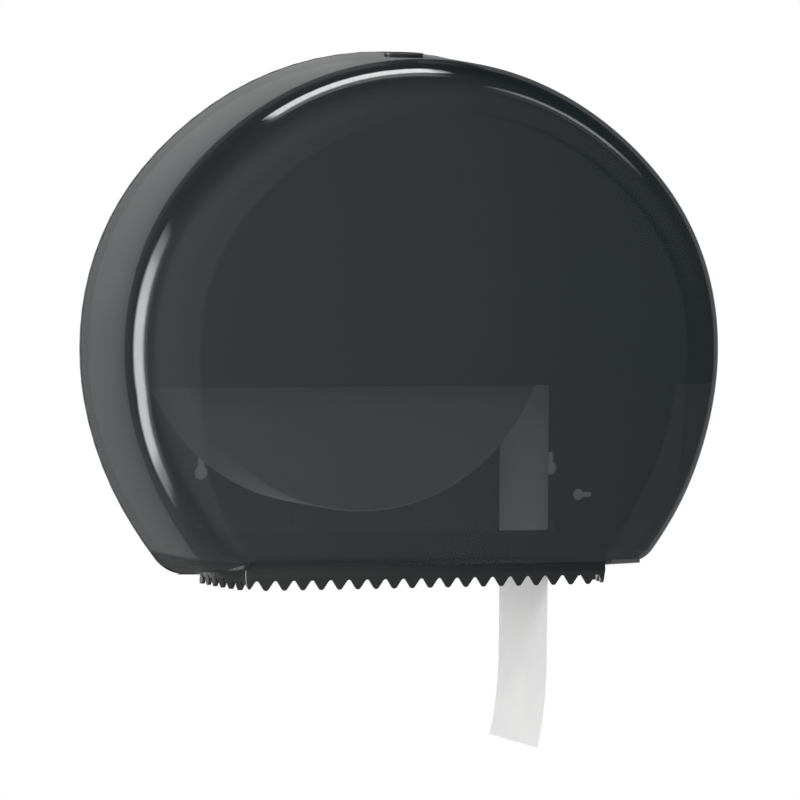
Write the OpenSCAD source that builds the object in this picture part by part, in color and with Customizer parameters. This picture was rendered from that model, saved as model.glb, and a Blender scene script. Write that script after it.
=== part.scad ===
// Jumbo toilet roll dispenser: a wall plate with a braked roll hub, a U-shaped tear bar and a hinged
// smoked cover with a top lock. Millimetres. X is right, Z is up, the wall is the plane Y = 0 and the
// front faces -Y. A "depth" is a distance from the wall, so it is -Y. Z = 0 is the datum of the fixings.

/* [Cover] */
// Room between the full roll and the cover's outline at its left side
side_room = 35.5; // [34:0.5:60]
// Room between the full roll and the cover's crown
room_above = 49; // [46:1:70]
// Room between the full roll and the cover's bottom edge
room_below = 48; // [46:1:70]
// Depth of the cover's front face from the wall
cover_d = 132.5; // [130:0.5:150]
// Thickness of the smoked cover
cover_wall = 2.8; // [2:0.1:3.4]
// Draft of the cover's side walls, in degrees
draft = 5.1; // [2:0.1:6]
// Radius of the outline at the crown, for a cover of the design width
crown_r = 218; // [205:1:245]
// Radius of the outline beside the crown
haunch_r = 237; // [220:1:240]
// Radius of the outline at the shoulders
shoulder_r = 184; // [175:1:188]
// Radius of the outline at the widest level
side_r = 193; // [185:1:196]
// Radius of the outline below the widest level
flank_r = 230; // [220:1:234]
// Radius of the outline just above the lower corners
lower_r = 314; // [290:1:320]
// Radius of the lower corners
corner_r = 29; // [25:1:30]
// How far the front roundover comes in from the side walls
round_in = 39; // [25:1:42]
// How far the roundover comes in at the lower corners
low_in = 20; // [18:1:22]
// Radius of the lower corners of the flat front
front_corner_r = 15; // [12:1:18]
// How deep the front roundover is
round_depth = 45; // [36:1:48]
// Angle of the crease between the side walls and the roundover, in degrees
crease = 6; // [1:0.5:8]
// Height of the roundover along the bottom edge
foot_round = 10; // [8:0.5:11]
// Depth of the roundover along the bottom edge
foot_depth = 13; // [9:1:20]
// Height of the line between the masked and the clear part, from the datum
window_z = -19.8; // [-60:0.1:20]
// Thickness of the masking liner
liner_t = 0.9; // [0.6:0.1:1.5]
// Depth at which the masking liner starts
liner_start = 20; // [19:1:30]
// Radius of the relief in the plate that the cover's knuckles turn in
hinge_relief_r = 5.3; // [5:0.1:6]

/* [Back plate] */
// Thickness of the back plate
plate_t = 3; // [2.5:0.1:4]
// Height of the rim that stands on the back plate
rim_h = 12; // [8:1:13]
// Thickness of that rim
rim_t = 2.4; // [1.6:0.1:3]
// Height of the stiffening ribs
rib_h = 4.5; // [2:0.5:5]
// Thickness of the stiffening ribs
rib_t = 2; // [1.5:0.1:3]
// Radius of the ring rib round the hub boss
rib_ring_r = 73; // [60:1:76]
// Distance between the two upright ribs below the roll
rib_dx = 124; // [110:1:140]
// Length of those upright ribs
rib_low = 60; // [40:1:70]
// Length of the level rib above the roll
rib_high = 150; // [100:1:180]
// Height of the boss that carries the hub axle
boss_h = 5.5; // [4:0.5:6]
// Radius of that boss
boss_r = 22; // [20:1:26]

/* [Wall fixings] */
// Distance between the left and the right keyholes
key_dx = 255; // [200:1:260]
// Distance between the lower and the upper keyholes
key_dz = 145; // [120:1:160]
// Side offset of the chassis (keyholes) from the cover's centre line
chassis_x = -5.5; // [-8:0.5:2]
// Height of the lower keyholes' round parts
key_z = -82.4; // [-90:0.1:-70]
// Radius of a keyhole's round part
key_r = 4.75; // [4:0.05:5.5]
// Width of a keyhole's slot
key_slot_w = 5; // [4:0.1:6]
// Travel from the round part to the end of the slot
key_travel = 9; // [7:0.5:12]
// Radius of the small levelling keyhole's round part
level_r = 4.1; // [3.5:0.1:4.5]
// Width of the levelling slot
level_slot_w = 3.6; // [3:0.1:4]
// Travel of the levelling slot
level_travel = 8.6; // [6:0.1:12]
// Levelling keyhole: distance to the right of the centre line
level_x = 143; // [135:1:150]
// Levelling keyhole: height above the cover's bottom edge
level_up = 50.7; // [46:0.1:56]

/* [Roll and hub] */
// Roll axis: distance from the centre line
roll_x = -52; // [-60:1:-45]
// Roll axis: height from the datum
roll_z = 27; // [22:1:32]
// Radius of a full roll
roll_r = 131; // [115:1:150]
// Width of the roll
roll_w = 96; // [90:1:97]
// Outer radius of the cardboard core
core_r = 30.25; // [29:0.25:32]
// Radial room between the hub and the core
core_gap = 0.6; // [0.3:0.1:0.9]
// Wall of the cardboard core
core_wall = 1.5; // [1:0.1:2]
// Depth of the roll's back face
roll_back = 15; // [14.5:0.5:16]
// Radius of the hub's back flange
hub_flange_r = 42; // [38:1:50]
// Thickness of the hub's back flange
hub_flange_t = 2.6; // [2:0.1:3]
// Wall of the hub's barrel and of its bearing tube
hub_wall = 2.4; // [2:0.1:3]
// Radius of the hub axle
axle_r = 8; // [6:0.5:9]
// Radius of the axle's mounting flange
axle_flange_r = 19; // [17:1:20]
// Thickness of the axle's mounting flange
axle_flange_t = 3; // [2.5:0.1:3.2]
// Length of the brake spring as fitted
spring_len = 11; // [8:0.5:12]
// Mean radius of the brake spring
spring_r = 10.2; // [9.8:0.1:11]
// Wire diameter of the brake spring
spring_wire = 1.4; // [1:0.1:1.6]
// Turns of the brake spring
spring_turns = 4; // [3:1:5]
// Thickness of the brake washer
washer_t = 1.2; // [0.8:0.1:1.5]
// Thickness of the axle's end cap
end_cap_t = 3; // [2:0.5:3]
// Radius of the end cap and of the brake washer
end_cap_r = 13; // [12.5:0.5:14]

/* [Stub roll post] */
// Stub post: distance from the cover's right side
stub_in = 68.5; // [64:0.5:78]
// Stub post: height from the datum
stub_z = 42; // [35:1:60]
// Radius of the stub post
stub_r = 14; // [12:0.5:16]
// Depth of the stub post's front end
stub_front = 96; // [80:1:105]
// Radius of the stub post's foot flange
stub_flange_r = 24; // [22:1:28]

/* [Tear bar] */
// Side offset of the tear bar's centre
bar_x = -7; // [-8:0.5:-5]
// Distance between neighbouring teeth
tooth_pitch = 12.7; // [11:0.1:12.8]
// Least distance between the ends of the serrated front and the cover's sides
bar_margin = 84; // [80:1:110]
// Depth of the tear bar's front corners
bar_corner_d = 116; // [114:0.5:117]
// How far the front bows out between its corners
bar_bow = 3.7; // [1:0.1:4]
// How far each side flares out towards the wall
bar_flare = 10; // [6:0.5:12]
// Depth at which the serrated sides end
bar_side_end = 35; // [34:1:42]
// Radius of the tear bar's front corners
bar_corner_r = 4.5; // [3.5:0.5:7]
// Wall of the tear bar
bar_t = 2.4; // [2:0.1:3]
// How far the tips of the teeth are below the cover's bottom edge
tip_drop = 3.5; // [2:0.1:8]
// Height of the teeth
tooth_h = 6.5; // [5:0.5:8]
// Height of the tear bar's top edge above the cover's bottom edge
bar_top_up = 34.1; // [27:0.1:37]
// Height of the lower edge of the arms that carry the bar, above the cover's bottom edge
bar_arm_up = 15; // [14:0.5:20]
// Height of the bevel that thins the serrated edge
bar_bevel_h = 9; // [8:0.5:11]
// How much that bevel takes off the wall at the tips
bar_bevel = 1.3; // [0.5:0.1:1.5]
// Width of each mounting flange
bar_flange_w = 14; // [12:1:16]

/* [Hinge] */
// Depth of the hinge axis
hinge_d = 6; // [5.8:0.1:6.4]
// Height of the hinge axis above the cover's bottom edge
hinge_up = 4; // [3.8:0.1:4.6]
// Radius of the hinge knuckles
knuckle_r = 3.6; // [3.2:0.1:3.7]
// Radius of the hinge pins
pin_r = 2; // [1.5:0.1:2.2]
// How far the joint between the knuckles is outside the tear bar's half width
knuckle_out = 3; // [1.5:0.5:5]
// Length of each knuckle
knuckle_len = 9.6; // [8:0.2:9.8]

/* [Lock] */
// Depth of the lock's axis
lock_d = 38; // [36:1:44]
// Radius of the lock's bezel
bezel_r = 13.5; // [12:0.5:15]
// How far the bezel stands above the cover
bezel_t = 1.4; // [0.8:0.1:2]
// Radius of the lock's body
lock_body_r = 10.5; // [10:0.5:11]
// Length of the lock's body below the cover's outer face
lock_body_len = 13; // [12:0.5:14]
// Radius of the turning barrel
barrel_r = 7; // [6:0.5:8]
// Thickness of the lock nut
lock_nut_t = 3.5; // [3:0.5:4]
// Length of the cam from the lock's axis
cam_len = 19; // [18:0.5:20]
// Width of the cam
cam_w = 11; // [9:1:12]
// Thickness of the cam
cam_t = 2.5; // [2:0.5:3]
// Thickness of the keeper's sheet
keeper_t = 2; // [1.5:0.5:2.5]
// Play between the turned cam and the keeper's lip
keeper_play = 1; // [0.6:0.1:1.5]
// Room below the cam for the cover's arc
keeper_drop = 2.2; // [1.8:0.1:3]

/* [Tissue tail] */
// Thickness of the tail's solid
tail_t = 0.5; // [0.3:0.1:1]
// How far below the cover the tail starts to curl
tail_curl_drop = 56; // [30:1:80]
// Radius of that curl
tail_curl_r = 280; // [200:10:400]
// How far below the cover the tail's lower edge is
tail_end_drop = 116; // [90:1:130]

/* [Clearances] */
// Between the cover's rear edge and the back plate
seat_gap = 0.4; // [0.3:0.1:0.8]
// Between the plate's rim and the inside of the cover
rim_gap = 0.6; // [0.4:0.1:1]
// Between pieces that pass or face each other
part_gap = 0.3; // [0.2:0.05:0.5]
// Radial play of a running fit
run_gap = 0.06; // [0.02:0.01:0.09]
// Radial play of a screw or pin in the piece that holds it
fit_gap = 0.02; // [0.01:0.01:0.05]
// Between the moving lip of the cover and the tear bar
lip_gap = 2; // [1.5:0.1:2.5]

/* [Hidden] */
$fn = 64;

// The cover goes round the full roll, off centre by roll_x, with the three rooms
cover_w = 2 * (roll_r - roll_x + side_room);
cover_h = 2 * roll_r + room_above + room_below;
crown_z = roll_z + roll_r + room_above;
bottom_z = crown_z - cover_h;
slope = tan(draft);

// The outline: arcs by the angle of their normal from straight up, with short flats at the crown, at
// the widest level and along the bottom. Its radii grow with the cover, and are scaled down together
// where the arcs would be wider or higher than the cover.
design_w = 437;
corner_from = 127.5;
breaks = [0, 30, 50, 75, 90, 100, 120, corner_from, 180];
steps = [7, 5, 6, 4, 3, 5, 3, 12];
upper_count = 4;
given_radii = [crown_r, haunch_r, shoulder_r, side_r, side_r, flank_r, lower_r, corner_r];

function u(a) = [sin(a), cos(a)];
function arc_sum(rs, k) = k <= 0 ? [0, 0]
    : arc_sum(rs, k - 1) + rs[k - 1] * (u(breaks[k]) - u(breaks[k - 1]));
wide_fit = cover_w / 2 / arc_sum(given_radii, upper_count)[0];
high_fit = -cover_h / arc_sum(given_radii, len(given_radii))[1];
radii = given_radii * min(cover_w / design_w, wide_fit, high_fit);
top_flat = cover_w / 2 - arc_sum(radii, upper_count)[0];
side_flat = cover_h + arc_sum(radii, len(radii))[1];
function arc_start(k) = [top_flat, crown_z - (k >= upper_count ? side_flat : 0)] + arc_sum(radii, k);
function on_arc(k, a) = let (p = arc_start(k) + radii[k] * (u(a) - u(breaks[k]))) [p[0], p[1], a];
half_outline = [
    for (k = [0 : len(radii) - 1])
        for (j = [0 : steps[k] - (k == upper_count - 1 || k == len(radii) - 1 ? 0 : 1)])
            on_arc(k, breaks[k] + (breaks[k + 1] - breaks[k]) * j / steps[k])
];
half_n = len(half_outline);
ring_n = 2 * half_n;
// A point of the full ring: [x, z, angle, side]
function ring_at(i) = i < half_n ? concat(half_outline[i], [1]) : concat(half_outline[ring_n - 1 - i], [-1]);
ring = [for (i = [0 : ring_n - 1]) ring_at(i)];
function inset_point(s, off) = [s[3] * (s[0] - off * sin(s[2])), s[1] - off * cos(s[2])];
function outline(off) = [for (s = ring) inset_point(s, off)];

// The skin of the cover: drafted wall, a crease at the rim's depth, then a quarter-round to the flat front.
// Along the bottom edge the roundover is small and shallow.
rim_from = 158;
sweep = [0, 0.11, 0.23, 0.37, 0.51, 0.67, 0.83, 1];
function ease(t) = let (c = max(0, min(1, t))) c * c * (3 - 2 * c);
function blend(a, b, t) = a + (b - a) * t;
function rim_d(a) = cover_d - blend(round_depth, foot_depth, ease((a - rim_from) / (180 - rim_from)));

// The outline of the flat front: inside the crease, and closer to it down the flanks. At the lower corners
// it runs straight on, turns with a radius of its own and ends on the level line above the bottom roundover.
low_from = 96;
function front_off(a) = slope * (cover_d - round_depth)
    + blend(round_in, low_in, ease((a - low_from) / (corner_from - low_from)));
front_low = bottom_z + slope * (cover_d - foot_depth) + foot_round;
turn_from = arc_start(len(radii) - 1) - front_off(corner_from) * u(corner_from);
turn_dir = [cos(corner_from), -sin(corner_from)];
turn_run = max(0, (front_low + front_corner_r * (1 + cos(corner_from)) - turn_from[1]) / turn_dir[1]);
turn_c = turn_from + turn_run * turn_dir - front_corner_r * u(corner_from);
turn_len = turn_run + front_corner_r * (180 - corner_from) * PI / 180;
function turned(s) = s < turn_run ? turn_from + s * turn_dir
    : turn_c + front_corner_r * u(corner_from + (s - turn_run) / front_corner_r * 180 / PI);
function front_point(s) = s[2] <= corner_from ? [s[0], s[1]] - front_off(s[2]) * u(s[2])
    : turned(turn_len * (s[2] - corner_from) / (180 - corner_from));
function skin_round(s, part, inset) =
    let (a = s[2], edge = [s[0], s[1]] - (inset + slope * rim_d(a)) * u(a), front = front_point(s),
         deep = cover_d - inset - rim_d(a), inward = (edge - front) * u(a),
         first = atan(tan(draft + crease) * deep / inward), q = blend(first, 90, part),
         p = edge + (front - edge) * (cos(first) - cos(q)) / cos(first),
         d = rim_d(a) + deep * (sin(q) - sin(first)) / (1 - sin(first)))
    [s[3] * p[0], -d, p[1]];
function skin_wall(s, d, inset) = let (p = inset_point(s, inset + slope * d)) [p[0], -d, p[1]];
function skin_rings(inset, start) = concat(
    [[for (s = ring) skin_wall(s, start, inset)]],
    [for (t = sweep) [for (s = ring) skin_round(s, t, inset)]]
);
function flat_list(rows) = [for (row = rows) for (p = row) p];
function band(base, row, flip) = [
    for (i = [0 : ring_n - 1])
        let (j = (i + 1) % ring_n, a = base + row * ring_n + i, b = base + row * ring_n + j,
             c = b + ring_n, d = a + ring_n)
        for (f = flip ? [[a, c, b], [a, d, c]] : [[a, b, c], [a, c, d]]) f
];
// The flat front as level strips from side to side
function cap(base) = [
    for (i = [0 : half_n - 2]) [base + i, base + i + 1, base + ring_n - 2 - i, base + ring_n - 1 - i]
];

// Hinge axis
hinge_z = bottom_z + hinge_up;

level_z = bottom_z + level_up;
stub_x = cover_w / 2 - stub_in;

// Roll, hub and axle, by depth
roll_front = roll_back + roll_w;
core_in_r = core_r - core_wall;
hub_r = core_in_r - core_gap;
hub_back = roll_back - hub_flange_t;
boss_front = plate_t + boss_h;
bearing_r = axle_r + run_gap;
cap_back = roll_front - 4;
washer_back = cap_back - spring_len - washer_t;
bearing_front = washer_back - part_gap;
barb_h = 1.6;
barb_len = 3;
arm_turn = 360 / 3;

// Screws
screw_r = 1.75;
screw_head_r = 3.4;
screw_head_h = 2.2;
screw_hole_r = screw_r + fit_gap;
end_screw_r = 2.5;

// Tear bar
tip_z = bottom_z - tip_drop;
bar_top_z = bottom_z + bar_top_up;
bar_arm_z = bottom_z + bar_arm_up;
tooth_count = 2 * floor((cover_w / 2 + bar_x - bar_margin) / tooth_pitch);
bar_half = tooth_pitch * tooth_count / 2;
flare_len = bar_corner_d - bar_side_end;
flare_r = (flare_len * flare_len + bar_flare * bar_flare) / (2 * bar_flare);
bow_r = (bar_half * bar_half + bar_bow * bar_bow) / (2 * bar_bow);
bar_outer = bar_half + bar_flare;
knuckle_x = bar_outer + knuckle_out;
bar_front = bar_corner_d + bar_bow;
bar_screw_in = 4.5;
// Centres of its three arcs as [x, depth]: the bowed front, the flared side and the corner between them
bow_c = [0, bar_front - bow_r];
flare_c = [bar_outer - flare_r, bar_side_end];
corner_c = meet(bow_c, bow_r - bar_corner_r, flare_c, flare_r - bar_corner_r);
bow_end = heading(corner_c - bow_c);
flare_start = heading(corner_c - flare_c);
// The mouth in the cover for it, as [radius about the hinge, half width]: the bar's plan and the lip's gap
function bar_reach(d) = norm([d - hinge_d, bar_top_z - hinge_z]) + lip_gap;
function flare_x(d) = flare_c[0] + sqrt(flare_r * flare_r - pow(d - bar_side_end, 2));
mouth_side = [for (i = [0 : 4]) let (d = blend(bar_corner_d - bar_corner_r / 2, bar_side_end, i / 4))
    [bar_reach(d), flare_x(d) + lip_gap]];
mouth_half = concat(
    [[bar_reach(bar_front), bar_half - bar_corner_r]],
    mouth_side,
    [[0, bar_outer + lip_gap]]
);
mouth_back = 2 * hinge_d;

// Lock
lock_z = crown_z - slope * lock_d;
body_end = lock_body_len;
nut_top = cover_wall + liner_t + 2 * part_gap;
cam_top = body_end + part_gap;
cam_z = lock_z - cam_top - cam_t;
keeper_arm_z = cam_z - keeper_drop - keeper_t - slope * bezel_r;
keeper_lip_d = lock_d + cam_w / 2 + keeper_play;
keeper_x0 = lock_body_r + 1.5;
keeper_x1 = cam_len + 13;
keeper_mid = (keeper_x0 + keeper_x1) / 2;
keeper_tab = 16;
keeper_screw_dx = 10;

// A prism of a flat shape drawn in X and Z, between two depths
module slab(d0, d1) {
    translate([0, -d0, 0]) rotate([90, 0, 0]) linear_extrude(d1 - d0) children();
}

module rod_y(r, d0, d1) {
    translate([0, -d0, 0]) rotate([90, 0, 0]) cylinder(r = r, h = d1 - d0);
}

module rod_x(r, x0, x1) {
    translate([x0, 0, 0]) rotate([0, 90, 0]) cylinder(r = r, h = x1 - x0);
}

module tube_y(r_out, r_in, d0, d1) {
    difference() {
        rod_y(r_out, d0, d1);
        rod_y(r_in, d0 - 1, d1 + 1);
    }
}

module both_sides() {
    children();
    mirror([1, 0, 0]) children();
}

// A pan-head screw along Y with its head's underside at the given depth, pointing at the wall
module screw_y(head_d, reach, r = screw_r, head_r = screw_head_r, head_h = screw_head_h) {
    cross_w = head_r / 4;
    difference() {
        union() {
            rod_y(r, head_d - reach, head_d);
            rod_y(head_r, head_d, head_d + head_h);
        }
        for (t = [0, 90]) rotate([0, t, 0]) translate([-head_r * 0.6, -head_d - head_h - 1, -cross_w / 2])
            cube([head_r * 1.2, head_h * 0.6 + 1, cross_w]);
    }
}

// A closed shell between two skins of the cover's shape
module skin_shell(inset, thick, start) {
    outer = skin_rings(inset, start);
    inner = skin_rings(inset + thick, start);
    rows = len(outer);
    base = rows * ring_n;
    polyhedron(points = concat(flat_list(outer), flat_list(inner)), convexity = 6, faces = concat(
        [for (r = [0 : rows - 2]) for (f = band(0, r, true)) f],
        [for (r = [0 : rows - 2]) for (f = band(base, r, false)) f],
        [for (f = cap(base - ring_n)) f],
        [for (f = cap(2 * base - ring_n)) [f[3], f[2], f[1], f[0]]],
        [for (i = [0 : ring_n - 1]) let (j = (i + 1) % ring_n)
            for (f = [[i, j, base + j], [i, base + j, base + i]]) f]
    ));
}

// A round wire wound along Y between two depths, as one unbroken tube
module coil_y(mean_r, wire, turns, d0, d1) {
    sides = 6;
    per_turn = 16;
    count = turns * per_turn;
    rise = (d1 - d0 - wire) / count;
    points = [for (i = [0 : count]) for (k = [0 : sides - 1])
        let (a = 360 * i / per_turn, b = 360 * k / sides, r = mean_r + wire / 2 * cos(b))
        [r * cos(a), -(d0 + wire / 2 + i * rise + wire / 2 * sin(b)), r * sin(a)]];
    polyhedron(points = points, faces = concat(
        [for (i = [0 : count - 1]) for (k = [0 : sides - 1])
            let (m = (k + 1) % sides, a = i * sides + k, b = i * sides + m)
            for (f = [[a, b, b + sides], [a, b + sides, a + sides]]) f],
        [[for (k = [sides - 1 : -1 : 0]) k]],
        [[for (k = [0 : sides - 1]) count * sides + k]]
    ));
}

// The keyhole's flat shape, with its round part at the origin and its slot up
module keyhole(r, slot_w, travel) {
    circle(r = r);
    translate([0, travel]) circle(r = slot_w / 2);
    translate([-slot_w / 2, 0]) square([slot_w, travel]);
}

module at_roll_axis() {
    translate([roll_x, 0, roll_z]) children();
}

module at_stub_axis() {
    translate([stub_x, 0, stub_z]) children();
}

module at_hinge() {
    translate([0, -hinge_d, hinge_z]) children();
}

// The lock's own frame: origin on the cover's outer face, +Z out of it
module at_lock() {
    translate([0, -lock_d, lock_z]) rotate([draft, 0, 0]) children();
}

module at_axle_screws() {
    for (t = [90 : arm_turn : 360]) rotate([0, t, 0])
        translate([(axle_flange_r + axle_r) / 2, 0, 0]) children();
}

module at_stub_screws() {
    for (t = [30 : arm_turn : 360]) rotate([0, t, 0])
        translate([(stub_flange_r + stub_r) / 2, 0, 0]) children();
}

// Places of the tear bar's four screws
module at_bar_screws() {
    for (side = [-1, 1]) for (z = [bar_top_z - bar_screw_in, bar_arm_z + bar_screw_in])
        translate([bar_x + side * (bar_outer - bar_t - bar_flange_w / 2), 0, z]) children();
}

module at_keeper_screws() {
    for (side = [-1, 1])
        translate([keeper_mid + side * keeper_screw_dx / 2, 0, keeper_arm_z - keeper_tab / 2]) children();
}

module back_plate() color([0.13, 0.15, 0.16]) {
    rim_off = cover_wall + slope * (plate_t + rim_h) + rim_gap;
    rim_foot = bar_arm_z + 22;
    spoke_drop = 0.8;
    stub_pad = 1.5;
    difference() {
        union() {
            slab(0, plate_t) polygon(outline(0));
            // Rim that the cover slips over
            difference() {
                slab(plate_t, plate_t + rim_h) difference() {
                    polygon(outline(rim_off));
                    polygon(outline(rim_off + rim_t));
                }
                translate([-cover_w, -cover_d, rim_foot - cover_h]) cube([2 * cover_w, cover_d, cover_h]);
            }
            // Stiffening ribs round the hub boss and across the plate
            at_roll_axis() {
                rod_y(boss_r, plate_t, boss_front);
                for (t = [0 : 45 : 315]) rotate([0, t, 0])
                    translate([boss_r - 1, -plate_t - rib_h + spoke_drop, -rib_t / 2])
                    cube([rib_ring_r - boss_r + 1 + rib_t / 2, rib_h - spoke_drop, rib_t]);
                tube_y(rib_ring_r + rib_t, rib_ring_r, plate_t, plate_t + rib_h);
            }
            for (x = [-1, 1]) translate([chassis_x + x * rib_dx / 2 - rib_t / 2, -plate_t - rib_h, bar_top_z])
                cube([rib_t, rib_h, rib_low]);
            translate([chassis_x - rib_high / 2, -plate_t - rib_h, roll_z + roll_r])
                cube([rib_high, rib_h, rib_t]);
            at_stub_axis() rod_y(stub_flange_r + stub_pad, plate_t, plate_t + stub_pad);
            // Hinge knuckles
            both_sides() at_hinge() {
                rod_x(knuckle_r, knuckle_x - part_gap / 2 - knuckle_len, knuckle_x - part_gap / 2);
                translate([knuckle_x - part_gap / 2 - knuckle_len, 0, -knuckle_r])
                    cube([knuckle_len, hinge_d - plate_t / 2, 2 * knuckle_r]);
            }
        }
        // Fixings
        for (x = [-1, 1]) for (z = [0, key_dz]) translate([chassis_x + x * key_dx / 2, 0, key_z + z])
            slab(-1, plate_t + rib_h + 1) keyhole(key_r, key_slot_w, key_travel);
        translate([level_x, 0, level_z])
            slab(-1, plate_t + 1) rotate(-90) keyhole(level_r, level_slot_w, level_travel);
        // Screw holes
        at_roll_axis() at_axle_screws() rod_y(screw_hole_r, -1, boss_front + 1);
        at_stub_axis() at_stub_screws() rod_y(screw_hole_r, -1, plate_t + 3);
        at_bar_screws() rod_y(screw_hole_r, -1, plate_t + rib_h + 1);
        at_keeper_screws() rod_y(screw_hole_r, -1, plate_t + 1);
        // Hinge: pin holes, and the relief that the cover's knuckles turn in
        both_sides() at_hinge() {
            rod_x(pin_r + fit_gap, knuckle_x - 1.5 * knuckle_len, knuckle_x + knuckle_len);
            rod_x(hinge_relief_r, knuckle_x - part_gap / 2, knuckle_x + 3 * knuckle_len);
        }
    }
}

module hinge_pins() color([0.7, 0.71, 0.72]) {
    both_sides() at_hinge() rod_x(pin_r, knuckle_x - knuckle_len, knuckle_x + knuckle_len);
}

// The gap between two teeth, with its middle at X = 0 and the tips at Y = 0: a round top, straight flanks
// and the rounded halves of the tips on both sides
module tooth_gap(h) {
    top_r = 1.8;
    tip_r = 2.1;
    fine = 6;
    tip_flat = 12;
    top_c = [0, h - top_r];
    tip_c = [tooth_pitch / 2, tip_r * cos(tip_flat)];
    reach = tip_c - top_c;
    flank = atan2(reach[1], reach[0]) + acos((top_r + tip_r) / norm(reach));
    right = concat(
        [for (i = [0 : fine]) let (a = blend(90, flank, i / fine)) top_c + top_r * [cos(a), sin(a)]],
        [for (i = [0 : fine]) let (a = blend(flank + 180, 270 - tip_flat, i / fine))
            tip_c + tip_r * [cos(a), sin(a)]],
        [[tooth_pitch / 2 - tip_r * sin(tip_flat), -1]]
    );
    polygon(concat(right, [for (i = [len(right) - 1 : -1 : 1]) [-right[i][0], right[i][1]]]));
}

// Where two circles of the plan meet, on the far side from the wall
function meet(c0, r0, c1, r1) =
    let (v = c1 - c0, gap = norm(v), along = (r0 * r0 - r1 * r1 + gap * gap) / (2 * gap),
         up = sqrt(r0 * r0 - along * along))
    c0 + (along * v + up * [v[1], -v[0]]) / gap;
// The direction of a vector of the plan, from straight ahead
function heading(v) = atan2(v[0], v[1]);

// Plan of the tear bar's right half as [x, y], inset from its outer face, from the middle to the side's end
function plan_arc(c, r, a0, a1, count, first) =
    [for (i = [first : count]) let (a = blend(a0, a1, i / count)) [c[0] + r * sin(a), -(c[1] + r * cos(a))]];
function bar_plan(inset) = concat(
    plan_arc(bow_c, bow_r - inset, 0, bow_end, 12, 0),
    plan_arc(corner_c, bar_corner_r - inset, bow_end, flare_start, 7, 1),
    plan_arc(flare_c, flare_r - inset, flare_start, 90, 10, 1)
);
// The whole plan from the left side's end to the right side's end
function bar_path(inset) = let (half = bar_plan(inset), n = len(half))
    concat([for (i = [n - 1 : -1 : 1]) [-half[i][0], half[i][1]]], half);

// The serrated wall before its teeth are cut: one section of five corners swept along the plan
module bar_wall() {
    bevel_z = tip_z + bar_bevel_h;
    section = [[bar_bevel, tip_z], [0, bevel_z], [0, bar_top_z], [bar_t, bar_top_z], [bar_t, tip_z]];
    paths = [for (c = section) bar_path(c[0])];
    corners = len(section);
    count = len(paths[0]);
    polyhedron(
        points = [for (i = [0 : count - 1]) for (k = [0 : corners - 1])
            [paths[k][i][0], paths[k][i][1], section[k][1]]],
        faces = concat(
            [for (i = [0 : count - 2]) for (k = [0 : corners - 1])
                let (m = (k + 1) % corners, a = i * corners)
                [a + k, a + m, a + corners + m, a + corners + k]],
            [[for (k = [corners - 1 : -1 : 0]) k]],
            [[for (k = [0 : corners - 1]) (count - 1) * corners + k]]
        ),
        convexity = 6
    );
}

// Flat pointed lands that stand on the bevel, one to each side tooth
module side_lands(count) {
    land_w = 7.4;
    land_h = bar_bevel_h - 1.5;
    land_in = 0.1;
    outer = bar_path(land_in);
    inner = bar_path(bar_t - 0.3);
    intersection() {
        for (i = [1 : count]) translate([0, -bar_corner_d + tooth_pitch * i, tip_z])
            rotate([90, 0, 90]) linear_extrude(3 * bar_outer, center = true)
            polygon([[-land_w / 2, -1], [land_w / 2, -1], [land_w / 2, land_h * 0.45],
                     [land_w / 3, land_h * 0.75], [0, land_h], [-land_w / 3, land_h * 0.75],
                     [-land_w / 2, land_h * 0.45]]);
        translate([0, 0, tip_z]) linear_extrude(land_h + 1)
            polygon(concat(outer, [for (i = [len(inner) - 1 : -1 : 0]) inner[i]]));
    }
}

module tear_bar() color([0.17, 0.19, 0.2]) {
    side_teeth = floor(flare_len / tooth_pitch);
    side_tooth_h = 0.8 * tooth_h;
    arm_in = 0.2;
    arm_from = bar_side_end + 3;
    flange_x = bar_outer - bar_flange_w - bar_t / 2;
    difference() {
        union() {
            translate([bar_x, 0, 0]) {
                bar_wall();
                side_lands(side_teeth);
                // Arms to the mounting flanges at the plate, and these flanges
                both_sides() translate([bar_outer - bar_t + arm_in, -arm_from, bar_arm_z])
                    cube([bar_t - 2 * arm_in, arm_from - plate_t - part_gap, bar_top_z - arm_in - bar_arm_z]);
                both_sides() translate([flange_x, -plate_t - part_gap - bar_t, bar_arm_z + arm_in])
                    cube([bar_flange_w + bar_t / 4, bar_t, bar_top_z - bar_arm_z - 3 * arm_in]);
            }
        }
        // Gaps between the front teeth
        for (i = [0 : tooth_count - 1])
            translate([bar_x + tooth_pitch * (i + 0.5 - tooth_count / 2), 0, tip_z])
            slab(bar_corner_d - 1.5 * bar_t, bar_front + 1) tooth_gap(tooth_h);
        // Gaps between the side teeth
        translate([bar_x, 0, 0]) both_sides() for (i = [0 : side_teeth - 1])
            translate([bar_half - bar_corner_r, -bar_corner_d + tooth_pitch * (i + 0.5), tip_z])
            rotate([90, 0, 90]) linear_extrude(2 * bar_flare) tooth_gap(side_tooth_h);
        at_bar_screws() rod_y(screw_hole_r, plate_t - 1, plate_t + 2 * bar_t);
    }
}

module tear_bar_screws() color([0.62, 0.63, 0.64]) {
    at_bar_screws() screw_y(plate_t + part_gap + bar_t, plate_t + bar_t);
}

module hub_axle() color([0.72, 0.73, 0.74]) at_roll_axis() {
    difference() {
        union() {
            rod_y(axle_flange_r, boss_front, boss_front + axle_flange_t);
            rod_y(axle_r, boss_front + 1, cap_back);
        }
        at_axle_screws() rod_y(screw_hole_r, boss_front - 1, boss_front + axle_flange_t + 1);
        rod_y(end_screw_r + fit_gap, cap_back - 16, cap_back + 1);
    }
}

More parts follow.
